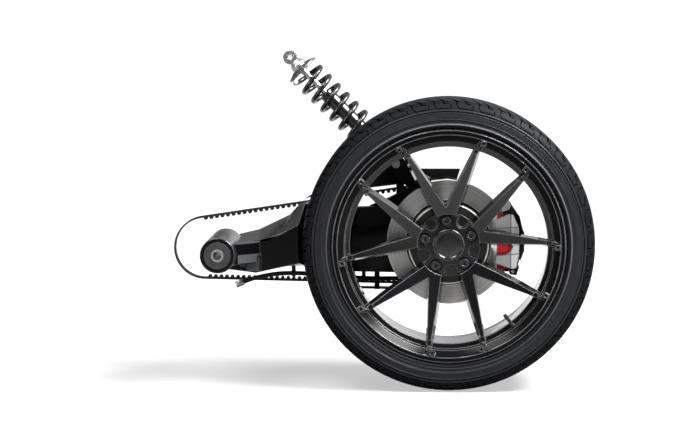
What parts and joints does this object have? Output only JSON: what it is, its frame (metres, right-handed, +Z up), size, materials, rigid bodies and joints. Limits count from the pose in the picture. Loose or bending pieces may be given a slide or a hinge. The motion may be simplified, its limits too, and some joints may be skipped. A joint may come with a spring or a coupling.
{
  "type": "rear wheel and swingarm unit",
  "caption": "Wide rear road wheel with paired spokes on a single-sided swingarm, with disc brake, toothed drive belt, belt guards and coil-over shock absorber.",
  "frame": {"origin": "middle of the swingarm pivot bore, on its axis and in the wheel's middle plane", "axes": "+X to the rear of the vehicle, +Y to its right along the pivot bore and the wheel axle, +Z up"},
  "size_m": [1.0283, 0.4225, 0.7984],
  "materials": {
    "arm_paint": "gloss black",
    "belt_rubber": "matte",
    "black_nut": "satin black",
    "black_plastic": "satin",
    "bracket_paint": "satin black",
    "caliper_paint": "light grey",
    "disc_steel": "machined",
    "gloss_black_plastic": "gloss",
    "grey_plastic": "satin",
    "hose_rubber": "matte",
    "lead_grey": "satin",
    "pad_red": "red",
    "rim_gloss_black": "gloss",
    "spring_paint": "gloss black",
    "sprocket_alloy": "anodised",
    "steel": "satin",
    "tyre": "matte",
    "zinc": "zinc plated"
  },
  "bodies": {
    "swingarm": {"swingarm_arm": "arm_paint", "pivot_sleeve": "steel", "pivot_bushes": "grey_plastic", "hub_carrier": "arm_paint", "wheel_bearings": "steel", "pinch_bolts": "zinc", "caliper_housing": "caliper_paint", "caliper_bracket": "bracket_paint", "brake_pads": "pad_red", "drive_belt": "belt_rubber", "upper_belt_guard": "black_plastic", "lower_belt_guard": "black_plastic", "guard_bolts": "zinc", "shock_clevis": "arm_paint", "shock_lower_bolt": "zinc", "damper_body": "black_plastic", "bump_boot": "grey_plastic", "lower_spring_seat": "spring_paint", "upper_spring_seat": "spring_paint", "damper_rod": "steel", "hose_clips": "bracket_paint", "shock_eye_sleeves": "steel", "shock_spring": "spring_paint", "brake_hose": "hose_rubber"},
    "wheel": {"tyre": "tyre", "rim": "rim_gloss_black", "centre_cap": "gloss_black_plastic", "lug_nuts": "black_nut", "wheel_hub": "steel", "wheel_studs": "steel", "brake_disc": "disc_steel", "driven_sprocket": "sprocket_alloy", "drive_flange": "sprocket_alloy", "sprocket_bolts": "zinc", "axle_nut": "zinc", "valve_stem": "hose_rubber", "balance_weights": "lead_grey"}
  },
  "joints": [
    {"name": "wheel_spin", "type": "hinge", "parent": "swingarm", "child": "wheel", "pos_m": [0.545, 0, 0.025], "axis": [0, 1, 0], "continuous": true}
  ]
}
